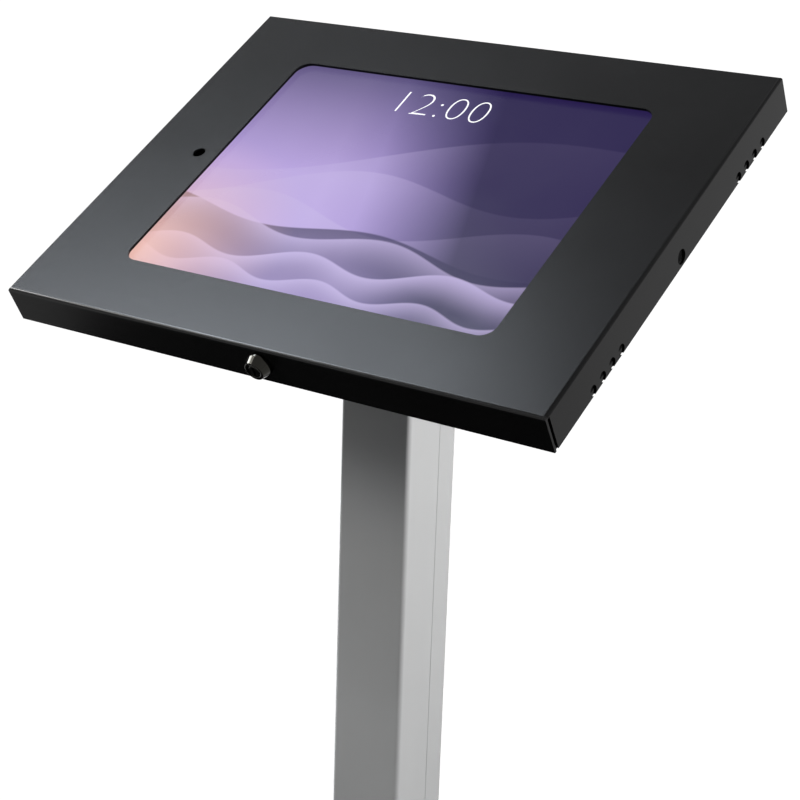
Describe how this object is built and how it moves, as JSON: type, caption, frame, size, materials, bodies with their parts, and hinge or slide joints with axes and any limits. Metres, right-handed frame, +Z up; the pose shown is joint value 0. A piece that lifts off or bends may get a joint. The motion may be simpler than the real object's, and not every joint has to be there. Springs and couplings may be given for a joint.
{
  "type": "tablet kiosk floor stand",
  "caption": "Floor stand with a lockable folded-steel tablet enclosure on a square pole, tilting and turning head, hinged cover and cam lock.",
  "frame": {"origin": "middle of the base's footprint, on the floor", "axes": "+Z up along the pole, -Y to the front, where the user stands, +X to the user's right"},
  "size_m": [0.34, 0.38, 1.1164],
  "materials": {
    "black_powder_coat": "fine-textured satin powder coat",
    "grey_powder_coat": "smooth silver-grey satin coat",
    "zinc_steel": "bright zinc plate",
    "black_rubber": "matt moulded rubber",
    "black_plastic": "fine-grained moulded plastic",
    "dark_chrome": "dark polished chrome",
    "tablet_aluminium": "bead-blasted anodised aluminium",
    "border_glass": "black-backed glass",
    "display_glass": "lit display under glass"
  },
  "bodies": {
    "stand": {"base_plate": "black_powder_coat", "base_feet": "black_rubber", "foot_plate": "grey_powder_coat", "foot_screws": "zinc_steel", "pole_channel": "grey_powder_coat", "cover_posts": "zinc_steel", "pole_rear_cover": "grey_powder_coat", "rear_cover_screws": "zinc_steel", "cable_exit": "black_plastic", "pole_head": "black_powder_coat", "pole_head_screws": "zinc_steel", "tilt_bolt": "zinc_steel", "tilt_nut": "zinc_steel", "tilt_washers": "zinc_steel"},
    "tilt_head": {"tilt_bracket": "black_powder_coat"},
    "enclosure": {"swivel_plate": "black_powder_coat", "swivel_ring": "zinc_steel", "stop_pin": "zinc_steel", "swivel_screws": "zinc_steel", "back_tray": "black_powder_coat", "tray_hinge_leaves": "black_powder_coat", "hinge_pins": "zinc_steel", "lock_strike": "black_powder_coat", "strike_rivets": "zinc_steel", "cable_grommet": "black_rubber", "tablet_cradles": "black_rubber", "cradle_screws": "zinc_steel", "tablet_shell": "tablet_aluminium", "tablet_bezel": "border_glass", "tablet_display": "display_glass", "tablet_camera": "border_glass"},
    "cover": {"front_cover": "black_powder_coat", "cover_hinge_leaves": "black_powder_coat", "window_gasket": "black_rubber", "lock_barrel": "dark_chrome", "lock_nut": "zinc_steel"},
    "lock_core": {"lock_plug": "dark_chrome", "lock_cam": "zinc_steel", "cam_screw": "zinc_steel"}
  },
  "joints": [
    {"name": "tilt", "type": "hinge", "parent": "stand", "child": "tilt_head", "pos_m": [0, 0.04, 1.03203], "axis": [1, 0, 0], "range_deg": [-30, 30]},
    {"name": "swivel", "type": "hinge", "parent": "tilt_head", "child": "enclosure", "pos_m": [0, 0.04, 1.03203], "axis": [0, 0.5, -0.866], "range_deg": [0, 90]},
    {"name": "cover_open", "type": "hinge", "parent": "enclosure", "child": "cover", "pos_m": [0, 0.1276, 1.0945], "axis": [-1, 0, 0], "range_deg": [0, 100]},
    {"name": "lock_turn", "type": "hinge", "parent": "cover", "child": "lock_core", "pos_m": [0.0025, -0.0685, 0.99895], "axis": [0, 0.866, 0.5], "range_deg": [0, 90]}
  ]
}
